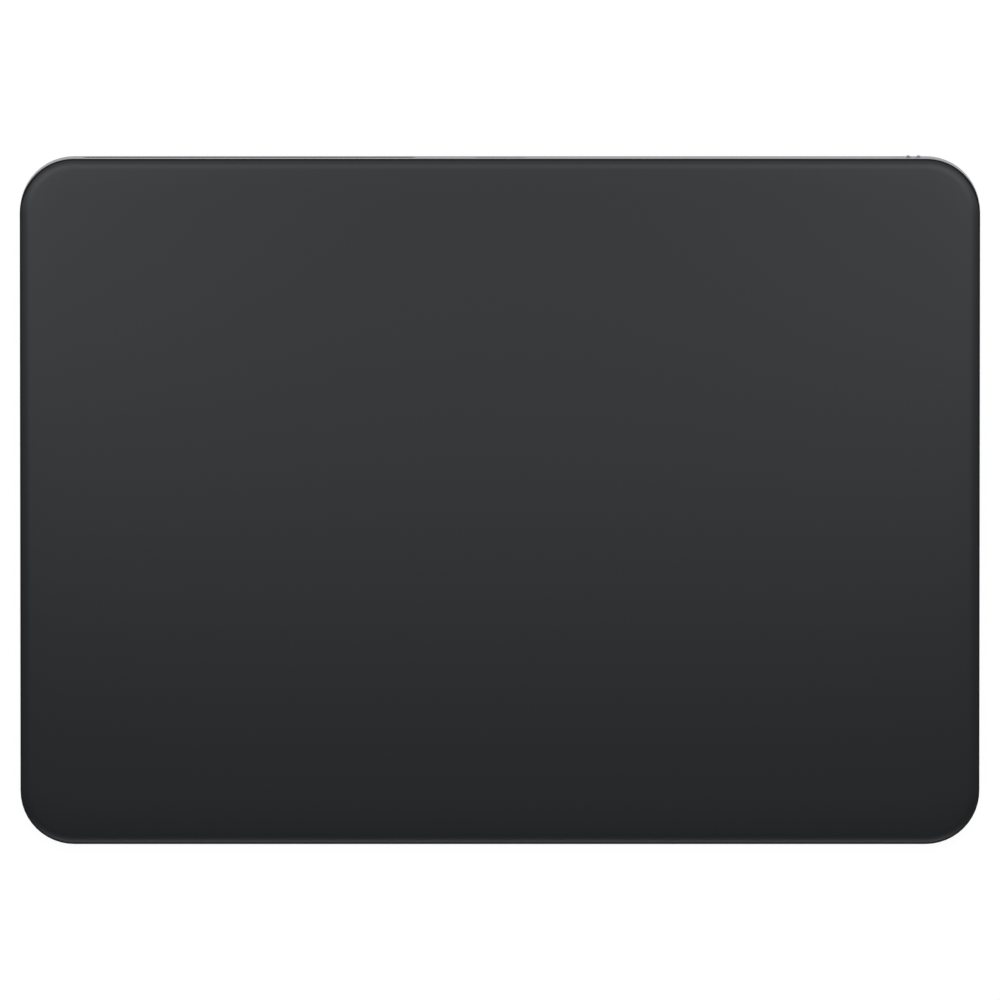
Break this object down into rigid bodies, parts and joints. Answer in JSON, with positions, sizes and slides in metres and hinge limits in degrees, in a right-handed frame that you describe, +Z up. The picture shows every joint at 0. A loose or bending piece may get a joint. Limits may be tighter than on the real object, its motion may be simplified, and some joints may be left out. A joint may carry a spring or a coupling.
{
  "type": "trackpad",
  "caption": "Wedge-shaped wireless trackpad: matte black glass on a silver aluminium tray with sprung feet, a power slider and a charging socket in the rear wall.",
  "frame": {"origin": "on the desk under the middle of the tray's footprint", "axes": "+X to the user's right, +Y to the rear wall, +Z up from the desk"},
  "size_m": [0.16, 0.1153, 0.0108],
  "materials": {
    "anodised_aluminium": "bead-blasted, clear anodised",
    "black_glass": "black-backed, finely etched",
    "bond_black": "matte adhesive film",
    "circuit_board": "solder mask",
    "chip_black": "moulded epoxy",
    "flex_film": "polyimide film",
    "window_plastic": "fine matte moulded",
    "stainless": "stamped",
    "contact_gold": "gold plated",
    "on_green": "printed",
    "pouch_foil": "laminated foil",
    "copper_wire": "enamelled winding",
    "magnet_nickel": "nickel plated",
    "dense_mass": "sintered tungsten alloy",
    "foot_plastic": "fine matte moulded"
  },
  "bodies": {
    "tray": {"housing": "anodised_aluminium", "glass_top": "black_glass", "glass_bond": "bond_black", "battery_tape": "bond_black", "touch_sensor": "circuit_board", "main_board": "circuit_board", "switch_board": "circuit_board", "battery_board": "circuit_board", "touch_chips": "chip_black", "board_chips": "chip_black", "board_connectors": "chip_black", "port_tongue": "chip_black", "switch_body": "chip_black", "touch_flex": "flex_film", "antenna_flex": "flex_film", "battery_flex": "flex_film", "haptic_flex": "flex_film", "force_flex": "flex_film", "switch_flex": "flex_film", "strain_gauges": "flex_film", "antenna_window": "window_plastic", "port_shell": "stainless", "port_bracket": "stainless", "board_shield": "stainless", "haptic_frame": "stainless", "haptic_cores": "stainless", "haptic_springs": "stainless", "foot_flexure_fl": "stainless", "foot_flexure_fr": "stainless", "foot_flexure_rl": "stainless", "foot_flexure_rr": "stainless", "bracket_screws": "stainless", "board_screws": "stainless", "switch_screws": "stainless", "haptic_screws": "stainless", "flexure_screws": "stainless", "port_contacts": "contact_gold", "battery_cell_left": "pouch_foil", "battery_cell_right": "pouch_foil", "haptic_coils": "copper_wire"},
    "slider": {"switch_knob": "anodised_aluminium", "switch_mark": "on_green"},
    "haptic_shuttle": {"haptic_mass": "dense_mass", "haptic_magnets": "magnet_nickel"},
    "foot_fl": {"foot_pad_fl": "foot_plastic", "foot_hub_fl": "stainless"},
    "foot_fr": {"foot_pad_fr": "foot_plastic", "foot_hub_fr": "stainless"},
    "foot_rl": {"foot_pad_rl": "foot_plastic", "foot_hub_rl": "stainless"},
    "foot_rr": {"foot_pad_rr": "foot_plastic", "foot_hub_rr": "stainless"}
  },
  "joints": [
    {"name": "power_slide", "type": "slide", "parent": "tray", "child": "slider", "axis": [-1, 0, 0], "range_m": [0, 0.0026]},
    {"name": "haptic_shuttle", "type": "slide", "parent": "tray", "child": "haptic_shuttle", "axis": [1, 0, 0], "range_m": [-0.0003, 0.0003], "stiffness_N_per_m": 12000},
    {"name": "foot_press_fl", "type": "slide", "parent": "tray", "child": "foot_fl", "axis": [0, 0, 1], "range_m": [0, 0.0002], "stiffness_N_per_m": 20000, "deforming": ["foot_flexure_fl"]},
    {"name": "foot_press_fr", "type": "slide", "parent": "tray", "child": "foot_fr", "axis": [0, 0, 1], "range_m": [0, 0.0002], "stiffness_N_per_m": 20000, "deforming": ["foot_flexure_fr"]},
    {"name": "foot_press_rl", "type": "slide", "parent": "tray", "child": "foot_rl", "axis": [0, 0, 1], "range_m": [0, 0.0002], "stiffness_N_per_m": 20000, "deforming": ["foot_flexure_rl"]},
    {"name": "foot_press_rr", "type": "slide", "parent": "tray", "child": "foot_rr", "axis": [0, 0, 1], "range_m": [0, 0.0002], "stiffness_N_per_m": 20000, "deforming": ["foot_flexure_rr"]}
  ]
}
